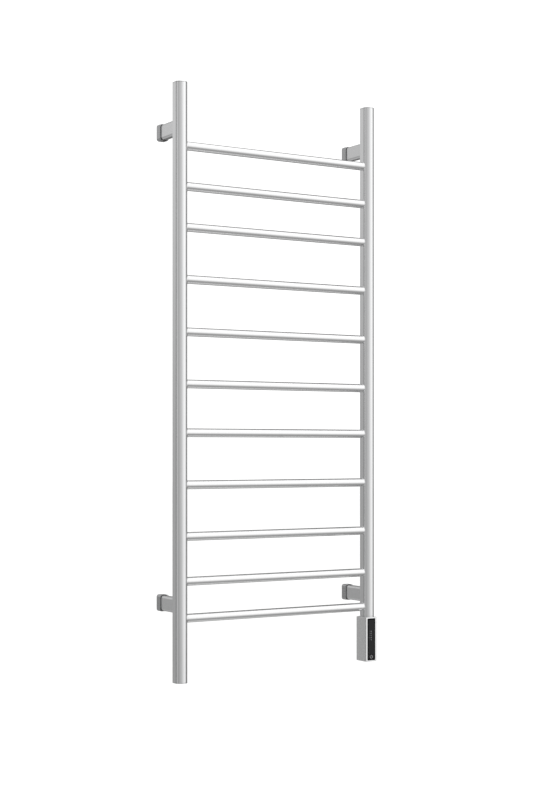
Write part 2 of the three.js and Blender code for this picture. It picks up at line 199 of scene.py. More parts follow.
def object_grain(tree, scale, detail):
    """Noise on the piece's own coordinates, stretched by a scale along each axis."""
    where = tree.nodes.new("ShaderNodeTexCoord")
    stretch = tree.nodes.new("ShaderNodeMapping")
    stretch.inputs["Scale"].default_value = scale
    noise = tree.nodes.new("ShaderNodeTexNoise")
    noise.inputs["Scale"].default_value = 1.0
    noise.inputs["Detail"].default_value = detail
    tree.links.new(where.outputs["Object"], stretch.inputs["Vector"])
    tree.links.new(stretch.outputs["Vector"], noise.inputs["Vector"])
    return noise.outputs["Fac"]


def vary_roughness(tree, shader, grain, low, high):
    """Lets the grain move the roughness between two values."""
    span = tree.nodes.new("ShaderNodeMapRange")
    span.inputs["From Min"].default_value = 0.3
    span.inputs["From Max"].default_value = 0.7
    span.inputs["To Min"].default_value = low
    span.inputs["To Max"].default_value = high
    tree.links.new(grain, span.inputs["Value"])
    tree.links.new(span.outputs["Result"], shader.inputs["Roughness"])


def vary_colour(tree, shader, grain, dark, light):
    """Lets the grain move the colour between two close shades."""
    ramp = tree.nodes.new("ShaderNodeValToRGB")
    ramp.color_ramp.elements[0].position = 0.3
    ramp.color_ramp.elements[0].color = (*dark, 1.0)
    ramp.color_ramp.elements[1].position = 0.7
    ramp.color_ramp.elements[1].color = (*light, 1.0)
    tree.links.new(grain, ramp.inputs["Fac"])
    tree.links.new(ramp.outputs["Color"], shader.inputs["Base Color"])


def raise_grain(tree, shader, grain, strength, height):
    """Turns the grain into fine relief."""
    relief = tree.nodes.new("ShaderNodeBump")
    relief.inputs["Strength"].default_value = strength
    relief.inputs["Distance"].default_value = height
    tree.links.new(grain, relief.inputs["Height"])
    tree.links.new(relief.outputs["Normal"], shader.inputs["Normal"])


def grained_metal(name, dark, light, roughness, scale, relief):
    """Metal with fine grain, drawn out along the axes where its scale is low."""
    finish, tree, shader = new_finish(name, light, 1.0, roughness[0])
    grain = object_grain(tree, scale, 3.0)
    vary_roughness(tree, shader, grain, *roughness)
    vary_colour(tree, shader, grain, dark, light)
    raise_grain(tree, shader, grain, relief, 0.02 * MM)
    return finish


def satin_steel():
    """Upright tubes and their caps: satin steel, linished along the tube."""
    return grained_metal("satin_steel_finish", (0.77, 0.775, 0.78), (0.83, 0.83, 0.835),
                         (0.12, 0.18), (1400.0, 1400.0, 16.0), 0.06)


def satin_arm_steel():
    """The arms' satin steel, linished from the rack to the wall."""
    return grained_metal("satin_arm_finish", (0.76, 0.765, 0.77), (0.82, 0.82, 0.825),
                         (0.18, 0.24), (1400.0, 30.0, 1400.0), 0.06)


def polished_steel():
    """Rails, heating rod and probe: polished steel with faint rings left by the belt."""
    return grained_metal("polished_steel_finish", (0.82, 0.82, 0.825), (0.87, 0.87, 0.87),
                         (0.10, 0.15), (1100.0, 60.0, 60.0), 0.04)


def socket_metal():
    """Wall sockets: cast, ground and plated, a little duller than the arms."""
    return grained_metal("socket_metal_finish", (0.50, 0.505, 0.51), (0.57, 0.57, 0.575),
                         (0.24, 0.32), (500.0, 220.0, 500.0), 0.10)


def fastener_steel():
    """Bolts and screws: plain machined steel."""
    return grained_metal("fastener_steel_finish", (0.46, 0.46, 0.47), (0.56, 0.56, 0.56),
                         (0.30, 0.42), (900.0, 900.0, 900.0), 0.12)


def head_silver():
    """Control head: silver lacquer on a fine-grained casting."""
    finish, tree, shader = new_finish("head_silver_finish", (0.88, 0.88, 0.88), 1.0, 0.26)
    grain = object_grain(tree, (900.0, 900.0, 60.0), 4.0)
    vary_roughness(tree, shader, grain, 0.22, 0.30)
    vary_colour(tree, shader, grain, (0.85, 0.85, 0.855), (0.91, 0.91, 0.91))
    raise_grain(tree, shader, grain, 0.12, 0.03 * MM)
    shader.inputs["Coat Weight"].default_value = 0.12
    shader.inputs["Coat Roughness"].default_value = 0.2
    return finish


def black_glass(name="black_glass_finish", base=0.003, specular=0.07):
    """Panel and power key: glossy black glass with faint haze."""
    finish, tree, shader = new_finish(name, (base, base, base * 1.1), 0.0, 0.06)
    haze = object_grain(tree, (60.0, 60.0, 25.0), 2.0)
    vary_roughness(tree, shader, haze, 0.05, 0.10)
    shader.inputs["Specular IOR Level"].default_value = specular
    return finish


def touch_field():
    """The clear middle of the panel, a shade lighter than its printed border."""
    return black_glass("touch_field_finish", 0.007, 0.22)


def speckled_plastic(name, dark, light, roughness, scale):
    """Moulded plastic or rubber with a fine texture."""
    finish, tree, shader = new_finish(name, light, 0.0, roughness)
    grain = object_grain(tree, (scale, scale, scale), 3.0)
    vary_colour(tree, shader, grain, dark, light)
    vary_roughness(tree, shader, grain, roughness - 0.05, roughness + 0.05)
    raise_grain(tree, shader, grain, 0.15, 0.02 * MM)
    return finish


def brass():
    """Element fitting: turned brass."""
    return grained_metal("brass_finish", (0.56, 0.40, 0.16), (0.66, 0.48, 0.21),
                         (0.24, 0.34), (200.0, 200.0, 2200.0), 0.12)


FINISHES = {
    "satin_steel": satin_steel(),
    "satin_arm": satin_arm_steel(),
    "polished_steel": polished_steel(),
    "socket_metal": socket_metal(),
    "fastener_steel": fastener_steel(),
    "head_silver": head_silver(),
    "black_glass": black_glass(),
    "touch_field": touch_field(),
    "light_guide": speckled_plastic("light_guide_finish", (0.62, 0.64, 0.66), (0.70, 0.72, 0.74),
                                    0.25, 300.0),
    "print": speckled_plastic("panel_print_finish", (0.26, 0.26, 0.27), (0.30, 0.30, 0.31),
                              0.45, 900.0),
    "board_green": speckled_plastic("board_green_finish", (0.012, 0.070, 0.026), (0.020, 0.105, 0.040),
                                    0.42, 350.0),
    "black_plastic": speckled_plastic("black_plastic_finish", (0.010, 0.010, 0.011), (0.016, 0.016, 0.017),
                                      0.48, 700.0),
    "relay_blue": speckled_plastic("relay_blue_finish", (0.022, 0.075, 0.180), (0.030, 0.095, 0.215),
                                   0.40, 500.0),
    "pale_plastic": speckled_plastic("pale_plastic_finish", (0.66, 0.66, 0.63), (0.74, 0.74, 0.71),
                                     0.38, 500.0),
    "brass": brass(),
    "rubber": speckled_plastic("rubber_finish", (0.016, 0.016, 0.016), (0.026, 0.026, 0.026),
                               0.72, 900.0),
}


# ---- Shaping ----


def middle_of(low, high):
    """Centre of a box."""
    return (low + high) / 2


def pull(bm, faces, step):
    """Extrudes faces by a step, and gives back the faces that moved."""
    edges = {edge for face in faces for edge in face.edges}
    corners = {corner for face in faces for corner in face.verts}
    region = list(faces) + list(edges) + list(corners)
    made = bmesh.ops.extrude_face_region(bm, geom=region)["geom"]
    corners = [item for item in made if isinstance(item, bmesh.types.BMVert)]
    bmesh.ops.translate(bm, verts=corners, vec=step)
    return [item for item in made if isinstance(item, bmesh.types.BMFace)]


def face_towards(bm, direction):
    """The largest face that looks one way."""
    bm.normal_update()
    facing = [face for face in bm.faces if face.normal.dot(direction) > 0.999]
    return max(facing, key=lambda face: face.calc_area())


def soften_edges(bm, edges, radius, segments):
    """Rounds edges."""
    bmesh.ops.bevel(bm, geom=edges, offset=radius, offset_type="OFFSET", affect="EDGES",
                    segments=segments, profile=0.5, material=-1, clamp_overlap=True)


def block(low, high):
    """A plain box, as a base to shape."""
    bm = bmesh.new()
    size = high - low
    place = Matrix.Translation(middle_of(low, high)) @ Matrix.Diagonal((*size, 1.0))
    bmesh.ops.create_cube(bm, size=1.0, matrix=place)
    return bm


def rounded_block(low, high, along, corner, segments=6):
    """A box whose four long edges, along one axis, are rounded."""
    bm = block(low, high)
    long_edges = []
    for edge in bm.edges:
        run = (edge.verts[1].co - edge.verts[0].co).normalized()
        if abs(run.dot(along)) > 0.999:
            long_edges.append(edge)
    soften_edges(bm, long_edges, corner, segments)
    return bm


def round_rim(bm, direction, radius, segments=3):
    """Rounds the rim of the end that looks one way."""
    soften_edges(bm, list(face_towards(bm, direction).edges), radius, segments)


def hollow(bm, direction, wall, depth):
    """Sinks the end that looks one way, and leaves a wall round it."""
    end = face_towards(bm, direction)
    bmesh.ops.inset_region(bm, faces=[end], thickness=wall, use_even_offset=True)
    pull(bm, [end], -direction * depth)


def round_bar(start, end, radius, sides=32):
    """A cylinder from one point to another."""
    bm = bmesh.new()
    run = end - start
    turn = Z_AXIS.rotation_difference(run.normalized()).to_matrix().to_4x4()
    place = Matrix.Translation(middle_of(start, end)) @ turn
    bmesh.ops.create_cone(bm, cap_ends=True, cap_tris=False, segments=sides,
                          radius1=radius, radius2=radius, depth=run.length, matrix=place)
    return bm


def spun(profile, centre, along, across, sides):
    """A turned shape: each profile point is its distance along the axis and its radius."""
    bm = bmesh.new()
    corners = [bm.verts.new(centre + along * run + across * radius) for run, radius in profile]
    for first, second in zip(corners, corners[1:]):
        bm.edges.new((first, second))
    bmesh.ops.spin(bm, geom=bm.verts[:] + bm.edges[:], cent=centre, axis=along, dvec=(0.0, 0.0, 0.0),
                   angle=math.tau, steps=sides, use_merge=True, use_duplicate=False)
    return bm


def gather(*shapes):
    """Several separate shapes as one tool."""
    whole = bmesh.new()
    for shape in shapes:
        held = bpy.data.meshes.new("held")
        shape.to_mesh(held)
        shape.free()
        whole.from_mesh(held)
        bpy.data.meshes.remove(held)
    return whole


def to_mesh(bm, name):
    """A clean mesh, its faces outwards, from a shape."""
    bmesh.ops.remove_doubles(bm, verts=bm.verts, dist=PIECE_WELD)
    bmesh.ops.recalc_face_normals(bm, faces=bm.faces)
    mesh = bpy.data.meshes.new(name)
    bm.to_mesh(mesh)
    bm.free()
    mesh.shade_smooth()
    return mesh


def make_piece(name, bm, look, body, slot, *stands_for):
    """A finished shape as a piece of the object, in place of the nodes it stands for."""
    mesh = to_mesh(bm, name)
    mesh.materials.append(FINISHES[look])
    piece = bpy.data.objects.new(name, mesh)
    bpy.context.scene.collection.objects.link(piece)
    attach(piece, body)
    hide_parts(*stands_for)
    return piece


def carve(piece, tools, operation="DIFFERENCE"):
    """Cuts tools out of a piece, or joins them to it, for good."""
    tool = bpy.data.objects.new("tool", to_mesh(tools, "tool"))
    bpy.context.scene.collection.objects.link(tool)
    cut = piece.modifiers.new("cut", "BOOLEAN")
    cut.object = tool
    cut.operation = operation
    cut.solver = "EXACT"
    graph = bpy.context.evaluated_depsgraph_get()
    shaped = bpy.data.meshes.new_from_object(piece.evaluated_get(graph))
    piece.modifiers.clear()
    whole = piece.data
    piece.data = shaped
    shaped.name = piece.name
    bpy.data.meshes.remove(whole)
    tool_mesh = tool.data
    bpy.data.objects.remove(tool)
    bpy.data.meshes.remove(tool_mesh)


def ease(piece, radius, segments=2):
    """Breaks the sharp edges that are left, and keeps flat faces flat to the light."""
    edge = piece.modifiers.new("eased_edges", "BEVEL")
    edge.width = radius
    edge.segments = segments
    edge.limit_method = "ANGLE"
    edge.angle_limit = math.radians(40.0)
    edge.use_clamp_overlap = True
    even = piece.modifiers.new("even_shading", "WEIGHTED_NORMAL")
    even.keep_sharp = False


# ---- Uprights and caps ----


def d_section(low, high, level, flat=UPRIGHT_FLAT):
    """The upright's section as one face: flat back and sides, bowed front."""
    bm = bmesh.new()
    centre_x = (low.x + high.x) / 2
    crease_y = high.y - flat
    half = (high.x - low.x) / 2
    bow = crease_y - low.y
    radius = (half ** 2 + bow ** 2) / (2 * bow)
    left_crease = bm.verts.new((low.x, crease_y, level))
    bmesh.ops.spin(bm, geom=[left_crease], cent=(centre_x, low.y + radius, level), axis=Z_AXIS,
                   dvec=(0.0, 0.0, 0.0), angle=2 * math.asin(half / radius), steps=BOW_STEPS,
                   use_merge=False, use_duplicate=False)
    bm.verts.ensure_lookup_table()
    right_crease = max(bm.verts, key=lambda corner: corner.co.x)
    back_left = bm.verts.new((low.x, high.y, level))
    back_right = bm.verts.new((high.x, high.y, level))
    bm.edges.new((right_crease, back_right))
    bm.edges.new((back_right, back_left))
    bm.edges.new((back_left, left_crease))
    bmesh.ops.edgeloop_fill(bm, edges=bm.edges[:])
    for corners, blend in (([left_crease, right_crease], CREASE_BLEND),
                           ([back_left, back_right], BACK_CORNER)):
        bmesh.ops.bevel(bm, geom=corners, offset=blend, offset_type="OFFSET", affect="VERTICES",
                        segments=4, profile=0.5, material=-1, clamp_overlap=True)
    bmesh.ops.recalc_face_normals(bm, faces=bm.faces)
    return bm


def upright_tube(side):
    """One D-section tube, open inside, its ends square."""
    low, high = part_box(f"{side}_upright")
    bm = d_section(low, high, low.z)
    section = bm.faces[:][0]
    wall = bmesh.ops.inset_region(bm, faces=[section], thickness=UPRIGHT_WALL, use_boundary=True,
                                  use_even_offset=True)["faces"]
    bmesh.ops.delete(bm, geom=[section], context="FACES")
    pull(bm, wall, Z_AXIS * (high.z - low.z))
    tube = make_piece(f"{side}_upright_tube", bm, "satin_steel", "rack", "satin_steel", f"{side}_upright")
    ease(tube, TUBE_EDGE)


def end_cap(name, node, inwards, plate):
    """A plate as large as the tube's end, with a plug that fits inside."""
    low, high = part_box(node)
    outer_level = low.z if inwards > 0 else high.z
    bm = d_section(low, high, outer_level)
    pull(bm, bm.faces[:], Z_AXIS * inwards * plate)
    cap = make_piece(name, bm, "satin_steel", "rack", "satin_steel", node)
    inset = Vector((PLUG_INSET, PLUG_INSET, 0.0))
    plug = d_section(low + inset, high - inset, outer_level + inwards * THROUGH, PLUG_FLAT)
    pull(plug, plug.faces[:], Z_AXIS * inwards * (high.z - low.z - THROUGH))
    carve(cap, plug, "UNION")
    return cap


def caps():
    """The three closed caps, and the right foot's plug with its threaded port."""
    for side in ("left", "right"):
        ease(end_cap(f"{side}_top_end", f"{side}_top_cap", -1, CAP_PLATE), CAP_EDGE)
    ease(end_cap("left_foot_end", "left_foot_cap", 1, CAP_PLATE), CAP_EDGE)
    foot = end_cap("right_foot_end", "right_foot_plug", 1, FOOT_PLATE)
    port = middle_of(*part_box("sealing_ring"))
    foot_low, foot_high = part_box("right_foot_plug")
    start = Vector((port.x, port.y, foot_low.z - THROUGH))
    end = Vector((port.x, port.y, foot_high.z + THROUGH))
    carve(foot, round_bar(start, end, PORT_RADIUS, 48))
    ease(foot, FOOT_EDGE)


# ---- Rails ----


def rail(number):
    """One round rail, welded between the uprights."""
    node = f"rail_{number:02d}"
    low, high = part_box(node)
    left_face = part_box("left_upright")[1].x
    centre = Vector((0.0, (low.y + high.y) / 2, (low.z + high.z) / 2))
    face = -left_face
    end = face + RAIL_SINK
    bead = RAIL_RADIUS + WELD_RISE
    right = [(end, 0.0), (end, bead - 0.1 * MM), (face - 0.1 * MM, bead),
             (face - 0.4 * WELD_WIDTH, bead - 0.12 * MM),
             (face - 0.8 * WELD_WIDTH, RAIL_RADIUS + 0.08 * MM), (face - WELD_WIDTH, RAIL_RADIUS)]
    left = [(-run, radius) for run, radius in reversed(right)]
    bm = spun(right + left, centre, X_AXIS, Y_AXIS, RAIL_SIDES)
    piece = make_piece(f"{node}_tube", bm, "polished_steel", "rack", "polished_steel", node)
    ease(piece, RAIL_EDGE)


# ---- Wall brackets ----


def bracket_arm(where):
    """A rounded box tube, closed at the rack and open at the wall."""
    low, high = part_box(f"arm_{where}")
    bm = rounded_block(low, high, Y_AXIS, ARM_CORNER, 10)
    hollow(bm, Y_AXIS, ARM_WALL, high.y - low.y - ARM_PLATE)
    arm = make_piece(f"bracket_arm_{where}", bm, "satin_arm", "rack", "satin_steel", f"arm_{where}")
    axis = middle_of(*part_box(f"lock_screw_{where}"))
    below = Vector((axis.x, axis.y, low.z - THROUGH))
    above = Vector((axis.x, axis.y, low.z + ARM_WALL + THROUGH))
    carve(arm, round_bar(below, above, LOCK_SCREW_HOLE / 2))
    ease(arm, ARM_EDGE)


def wall_socket(where):
    """The sleeve on the wall, with the spigot the arm slides over and its bore for the wall screw."""
    low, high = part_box(f"wall_socket_{where}")
    arm_low, arm_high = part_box(f"arm_{where}")
    centre = middle_of(arm_low, arm_high)
    rim = high.y - SOCKET_DEPTH
    sleeve = rounded_block(Vector((centre.x - SOCKET_WIDTH / 2, rim, low.z)),
                           Vector((centre.x + SOCKET_WIDTH / 2, high.y, high.z)), Y_AXIS, SOCKET_CORNER, 10)
    socket = make_piece(f"bracket_socket_{where}", sleeve, "socket_metal", "wall_mounts", "socket_metal",
                        f"wall_socket_{where}")
    recess_low = Vector((arm_low.x - SOCKET_PLAY, rim - THROUGH, arm_low.z - SOCKET_PLAY))
    recess_high = Vector((arm_high.x + SOCKET_PLAY, high.y - SOCKET_BASE, arm_high.z + SOCKET_PLAY))
    carve(socket, rounded_block(recess_low, recess_high, Y_AXIS, ARM_CORNER, 10))
    half = Vector((SPIGOT_WIDTH / 2, 0.0, SPIGOT_HEIGHT / 2))
    front = Vector((centre.x, low.y, centre.z))
    root = Vector((centre.x, high.y - SOCKET_BASE + THROUGH, centre.z))
    carve(socket, rounded_block(front - half, root + half, Y_AXIS, SPIGOT_CORNER, 4), "UNION")
    back = Vector((centre.x, high.y + THROUGH, centre.z))
    ahead = Vector((centre.x, low.y - THROUGH, centre.z))
    stop = Vector((centre.x, high.y - SOCKET_BASE, centre.z))
    carve(socket, round_bar(ahead, stop, SCREW_HEAD_BORE / 2, 40))
    carve(socket, round_bar(ahead, back, WALL_SCREW_HOLE / 2, 32))
    ease(socket, SOCKET_EDGE, 3)


def lock_screw(where):
    """The set screw under an arm, with its hexagon socket."""
    node = f"lock_screw_{where}"
    low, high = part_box(node)
    axis = middle_of(low, high)
    radius = (high.x - low.x) / 2
    foot = Vector((axis.x, axis.y, low.z))
    bm = round_bar(foot, Vector((axis.x, axis.y, high.z)), radius)
    round_rim(bm, -Z_AXIS, LOCK_SCREW_RIM)
    screw = make_piece(f"bracket_{node}", bm, "fastener_steel", "rack", "fastener_steel", node)
    key = round_bar(foot - Z_AXIS * THROUGH, foot + Z_AXIS * HEX_DEPTH, HEX_SOCKET / math.sqrt(3.0), 6)
    carve(screw, key)
    ease(screw, LOCK_SCREW_EDGE)


# ---- Control head ----


def head_housing():
    """The hollow casing: rounded outside, open at the back, with a bed for the glass panel."""
    low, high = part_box("control_housing")
    panel_low, panel_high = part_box("touch_panel")
    seal = middle_of(*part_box("sealing_ring"))
    bm = rounded_block(low, high, Z_AXIS, HEAD_CORNER, 6)
    round_rim(bm, Z_AXIS, HEAD_END_ROUND)
    round_rim(bm, -Z_AXIS, HEAD_END_ROUND)
    housing = make_piece("head_casing", bm, "head_silver", "rack", "head_silver", "control_housing")
    wall = Vector((HEAD_WALL, 0.0, HEAD_WALL))
    room = block(Vector((low.x, low.y + HEAD_FRONT, low.z)) + wall,
                 Vector((high.x, high.y + THROUGH, high.z)) - wall)
    carve(housing, room)
    play = Vector((GAP, 0.0, GAP))
    bed = rounded_block(Vector((panel_low.x, low.y - THROUGH, panel_low.z)) - play,
                        Vector((panel_high.x, panel_high.y + GAP, panel_high.z)) + play,
                        Y_AXIS, PANEL_CORNER + GAP, 4)
    carve(housing, bed)
    lip = Vector((PANEL_LIP, 0.0, PANEL_LIP))
    window = block(Vector((panel_low.x, low.y - THROUGH, panel_low.z)) + lip,
                   Vector((panel_high.x, low.y + HEAD_FRONT + THROUGH, panel_high.z)) - lip)
    carve(housing, window)
    carve(housing, round_bar(Vector((seal.x, seal.y, high.z - HEAD_WALL - THROUGH)),
                             Vector((seal.x, seal.y, high.z + THROUGH)), SEAL_HOLE / 2, 48))
    screw_posts(housing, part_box("housing_back_cover")[0].y - GAP)
    ease(housing, HEAD_EDGE)


def screw_posts(housing, back):
    """Two posts inside the casing that take the cover's screws and end just short of the cover."""
    near_wall = 0.5 * HEAD_WALL
    for level in ("low", "top"):
        screw = middle_of(*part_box(f"cover_screw_{level}"))
        foot = screw.z - POST_HEIGHT / 2 - (near_wall if level == "low" else 0.0)
        head = screw.z + POST_HEIGHT / 2 + (near_wall if level == "top" else 0.0)
        post = block(Vector((screw.x - POST_WIDTH / 2, back - POST_DEPTH, foot)),
                     Vector((screw.x + POST_WIDTH / 2, back, head)))
        carve(housing, post, "UNION")
        carve(housing, round_bar(Vector((screw.x, back - POST_DEPTH + THROUGH, screw.z)),
                                 Vector((screw.x, back + THROUGH, screw.z)), COVER_SCREW_HOLE / 2, 24))


def glass_panel():
    """The black glass front, with its holes for the key and the lights and a lighter touch field."""
    low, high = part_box("touch_panel")
    key = middle_of(*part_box("power_button"))
    bm = rounded_block(low, high, Y_AXIS, PANEL_CORNER, 5)
    round_rim(bm, -Y_AXIS, PANEL_RIM)
    mark_touch_field(bm, low, high)
    panel = make_piece("head_glass", bm, "black_glass", "rack", "black_glass", "touch_panel")
    panel.data.materials.append(FINISHES["touch_field"])
    reach = Vector((KEY_SIZE / 2 + KEY_PLAY, THROUGH, KEY_SIZE / 2 + KEY_PLAY))
    hole = rounded_block(Vector((key.x, low.y, key.z)) - reach, Vector((key.x, high.y, key.z)) + reach,
                         Y_AXIS, KEY_CORNER + KEY_PLAY, 5)
    carve(panel, hole)
    bores = []
    for number in range(1, LIGHTS + 1):
        light_low, light_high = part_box(f"indicator_light_{number}")
        light = middle_of(light_low, light_high)
        radius = (light_high.x - light_low.x) / 2 + GAP
        bores.append(round_bar(Vector((light.x, low.y - THROUGH, light.z)),
                               Vector((light.x, high.y + THROUGH, light.z)), radius, 24))
    carve(panel, gather(*bores))
    ease(panel, PANEL_EDGE, 1)


def mark_touch_field(bm, low, high):
    """Splits the front along the printed border, and gives its middle the second finish."""
    margin = Vector((PANEL_SURROUND, 0.0, PANEL_SURROUND))
    field_low, field_high = low + margin, high - margin
    for corner, outward in ((field_low, -X_AXIS), (field_high, X_AXIS),
                            (field_low, -Z_AXIS), (field_high, Z_AXIS)):
        bmesh.ops.bisect_plane(bm, geom=bm.verts[:] + bm.edges[:] + bm.faces[:], dist=PIECE_WELD,
                               plane_co=corner, plane_no=outward)
    bm.normal_update()
    for face in bm.faces:
        spot = face.calc_center_median()
        inside = field_low.x < spot.x < field_high.x and field_low.z < spot.z < field_high.z
        if inside and face.normal.dot(-Y_AXIS) > 0.999:
            face.material_index = 1


def power_key():
    """The key at the panel's foot: square cap, the flange that holds it in, and its stem."""
    low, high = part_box("power_button")
    middle = middle_of(low, high)
    flange_back = high.y - KEY_STEM_LENGTH
    reach = Vector((KEY_SIZE / 2, 0.0, KEY_SIZE / 2))
    cap = rounded_block(Vector((middle.x, low.y, middle.z)) - reach,
                        Vector((middle.x, flange_back - 0.5 * KEY_FLANGE_DEPTH, middle.z)) + reach,
                        Y_AXIS, KEY_CORNER, 5)
    round_rim(cap, -Y_AXIS, KEY_RIM)
    key = make_piece("power_key_cap", cap, "black_glass", "power_button", "black_glass", "power_button")
    wide = reach + Vector((KEY_FLANGE, 0.0, KEY_FLANGE))
    flange = rounded_block(Vector((middle.x, flange_back - KEY_FLANGE_DEPTH, middle.z)) - wide,
                           Vector((middle.x, flange_back, middle.z)) + wide, Y_AXIS, KEY_CORNER, 5)
    carve(key, flange, "UNION")
    carve(key, round_bar(Vector((middle.x, flange_back - 0.5 * KEY_FLANGE_DEPTH, middle.z)),
                         Vector((middle.x, high.y, middle.z)), KEY_STEM_RADIUS), "UNION")
    ease(key, KEY_EDGE)
    power_symbol(Vector((middle.x, low.y, middle.z)))


def power_symbol(centre):
    """The plain on and off mark printed on the key: a broken ring and a bar."""
    bm = bmesh.new()
    half = SYMBOL_STROKE / 2
    section = []
    for reach, depth in ((-half, -PRINT_DEPTH), (half, -PRINT_DEPTH),
                         (half, PRINT_DEPTH), (-half, PRINT_DEPTH)):
        section.append(bm.verts.new(centre + Vector((0.0, depth, SYMBOL_RADIUS + reach))))
    band = bm.faces.new(section)
    bmesh.ops.rotate(bm, verts=bm.verts, cent=centre, matrix=Matrix.Rotation(SYMBOL_OPENING, 3, "Y"))
    bmesh.ops.spin(bm, geom=[band], cent=centre, axis=Y_AXIS, dvec=(0.0, 0.0, 0.0),
                   angle=math.tau - 2 * SYMBOL_OPENING, steps=40, use_merge=False, use_duplicate=False)
    make_piece("power_key_ring", bm, "print", "power_button", "light_guide")
    low = centre + Vector((-half, -PRINT_DEPTH, SYMBOL_BAR_FOOT))
    high = centre + Vector((half, PRINT_DEPTH, SYMBOL_RADIUS + SYMBOL_BAR_RISE))
    bar = rounded_block(low, high, Y_AXIS, SYMBOL_BAR_CORNER, 3)
    make_piece("power_key_bar", bar, "print", "power_button", "light_guide")


def indicator_lights():
    """Five light guides, domed where they come through the glass, and the plain ticks beside them."""
    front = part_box("touch_panel")[0].y
    ticks = []
    for number in range(1, LIGHTS + 1):
        node = f"indicator_light_{number}"
        low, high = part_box(node)
        axis = middle_of(low, high)
        radius = (high.x - low.x) / 2
        profile = [(0.0, 0.0), (0.02 * MM, 0.45 * radius), (0.10 * MM, 0.8 * radius), (0.26 * MM, radius),
                   (high.y - low.y, radius), (high.y - low.y, 0.0)]
        bm = spun(profile, Vector((axis.x, low.y, axis.z)), Y_AXIS, X_AXIS, 24)
        light = make_piece(f"light_lens_{number}", bm, "light_guide", "rack", "light_guide", node)
        ease(light, LENS_EDGE, 1)
        tick_low = Vector((axis.x - TICK_START, front - PRINT_DEPTH, axis.z - TICK_HALF))
        tick_high = Vector((axis.x - TICK_END, front + PRINT_DEPTH, axis.z + TICK_HALF))
        ticks.append(rounded_block(tick_low, tick_high, Y_AXIS, TICK_CORNER, 2))
    make_piece("light_ticks", gather(*ticks), "print", "rack", "light_guide")


def back_cover():
    """The cover screwed into the back of the casing, with sinks for its screws and the cable's hole."""
    low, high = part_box("housing_back_cover")
    inlet = middle_of(*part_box("cable_inlet"))
    bm = rounded_block(low, high, Y_AXIS, COVER_CORNER, 3)
    cover = make_piece("head_cover", bm, "head_silver", "rack", "head_silver", "housing_back_cover")
    before, behind = low.y - THROUGH, high.y + THROUGH
    tools = [round_bar(Vector((inlet.x, before, inlet.z)), Vector((inlet.x, behind, inlet.z)),
                       INLET_HOLE / 2)]
    for level in ("low", "top"):
        screw = middle_of(*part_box(f"cover_screw_{level}"))
        sink = high.y - COVER_SCREW_HEAD_HEIGHT - GAP
        tools.append(round_bar(Vector((screw.x, before, screw.z)), Vector((screw.x, sink, screw.z)),
                               COVER_SCREW_HOLE / 2, 24))
        tools.append(round_bar(Vector((screw.x, sink, screw.z)), Vector((screw.x, behind, screw.z)),
                               COVER_SCREW_SINK / 2, 32))
    for tool in tools:
        carve(cover, tool)
    ease(cover, COVER_EDGE)


def cover_screws():
    """Two pan-head screws with cross recesses."""
    for level in ("low", "top"):
        node = f"cover_screw_{level}"
        low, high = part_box(node)
        axis = middle_of(low, high)
        head = (high.x - low.x) / 2
        under = high.y - COVER_SCREW_HEAD_HEIGHT
        shank = COVER_SCREW_SHANK
        profile = [(low.y, 0.0), (low.y + 0.2 * MM, 0.6 * shank), (low.y + 0.8 * MM, shank),
                   (under, shank), (under, head), (high.y - 0.7 * MM, head), (high.y - 0.3 * MM, 0.88 * head),
                   (high.y - 0.08 * MM, 0.6 * head), (high.y, 0.0)]
        bm = spun(profile, Vector((axis.x, 0.0, axis.z)), Y_AXIS, X_AXIS, 32)
        screw = make_piece(f"head_{node}", bm, "fastener_steel", "rack", "fastener_steel", node)
        for reach in (Vector((CROSS_REACH, 0.0, CROSS_HALF)), Vector((CROSS_HALF, 0.0, CROSS_REACH))):
            slot_low = Vector((axis.x, high.y - CROSS_DEPTH, axis.z)) - reach
            slot_high = Vector((axis.x, high.y + THROUGH, axis.z)) + reach
            carve(screw, block(slot_low, slot_high))
        ease(screw, COVER_SCREW_EDGE, 1)


def cable_grommet():
    """The rubber bushing that lines the cable's hole."""
    low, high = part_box("cable_inlet")
    axis = middle_of(low, high)
    bore, neck, flange = GROMMET_BORE, GROMMET_NECK, (high.x - low.x) / 2
    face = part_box("housing_back_cover")[1].y + GAP
    profile = [(low.y, bore + 0.3 * MM), (low.y, neck - 0.4 * MM), (low.y + 0.4 * MM, neck),
               (face, neck), (face, flange - 0.2 * MM), (face + 0.2 * MM, flange),
               (high.y - 0.6 * MM, flange), (high.y - 0.2 * MM, flange - 0.3 * MM),
               (high.y, flange - 0.9 * MM), (high.y, bore + 0.6 * MM),
               (high.y - 0.2 * MM, bore + 0.2 * MM), (high.y - 0.6 * MM, bore),
               (low.y + 0.3 * MM, bore), (low.y, bore + 0.3 * MM)]
    bm = spun(profile, Vector((axis.x, 0.0, axis.z)), Y_AXIS, X_AXIS, 40)
    grommet = make_piece("head_cable_grommet", bm, "rubber", "rack", "rubber", "cable_inlet")
    ease(grommet, GROMMET_EDGE, 1)


# ---- Pieces kept from the frame, inside the tubes and the head ----

KEPT = {
    "circuit_board": "board_green",
    "button_switch": "black_plastic",
    "power_supply": "black_plastic",
    "relay": "relay_blue",
    "terminal_block": "pale_plastic",
    "element_fitting": "brass",
    "sealing_ring": "rubber",
    "heating_element": "polished_steel",
    "temperature_probe": "polished_steel",
}


def finish_kept_nodes():
    """Gives each kept node its finish."""
    looks = dict(KEPT)
    for where in BRACKETS:
        looks[f"arm_boss_{where}"] = "fastener_steel"
        looks[f"arm_bolt_{where}"] = "fastener_steel"
    for node, look in looks.items():
        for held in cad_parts[node].material_slots:
            held.material = FINISHES[look]


# ---- Studio ----


